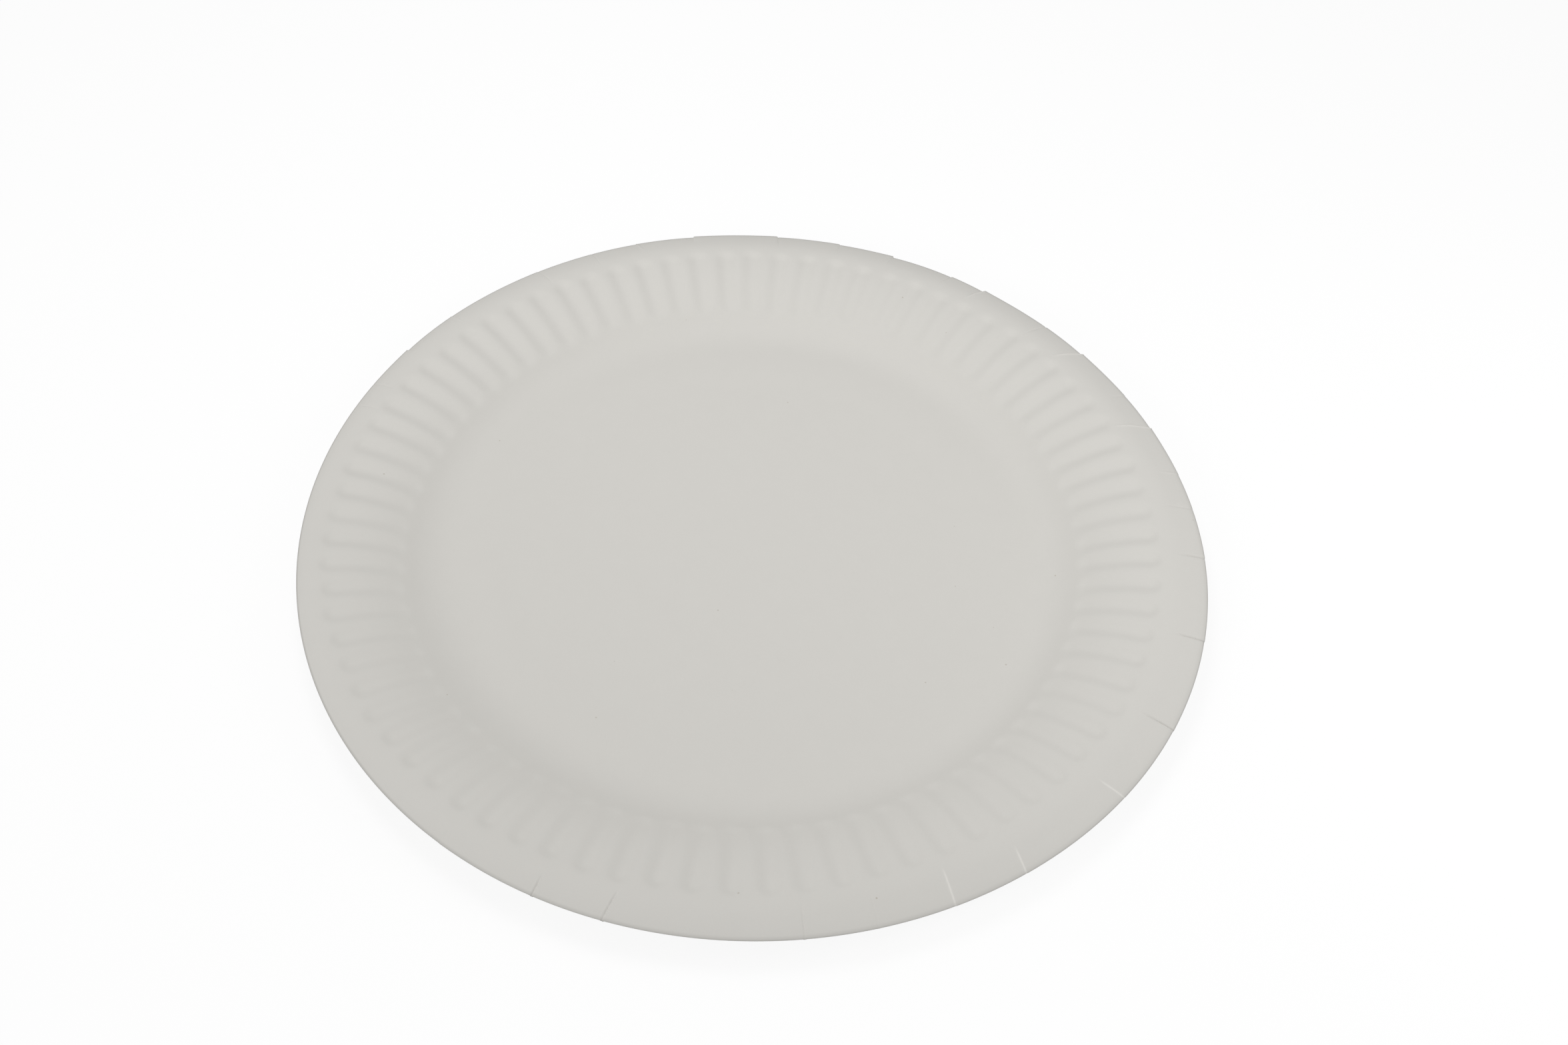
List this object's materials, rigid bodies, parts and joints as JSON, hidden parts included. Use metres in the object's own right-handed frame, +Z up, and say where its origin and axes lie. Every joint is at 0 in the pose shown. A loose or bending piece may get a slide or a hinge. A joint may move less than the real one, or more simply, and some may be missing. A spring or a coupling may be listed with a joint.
{
  "type": "paper plate",
  "caption": "Round white paper plate with a flat floor, a sloping fluted wall and a smooth turned-down rim.",
  "frame": {"origin": "on the table, under the middle of the plate's length and width", "axes": "+Z up out of the plate's well, +X towards the side where the rim is widest (right in the picture), +Y away from the picture's camera"},
  "size_m": [0.2288, 0.2308, 0.0093],
  "materials": {
    "board": "matt, uncoated"
  },
  "bodies": {
    "root": {"plate": "board"}
  },
  "joints": []
}
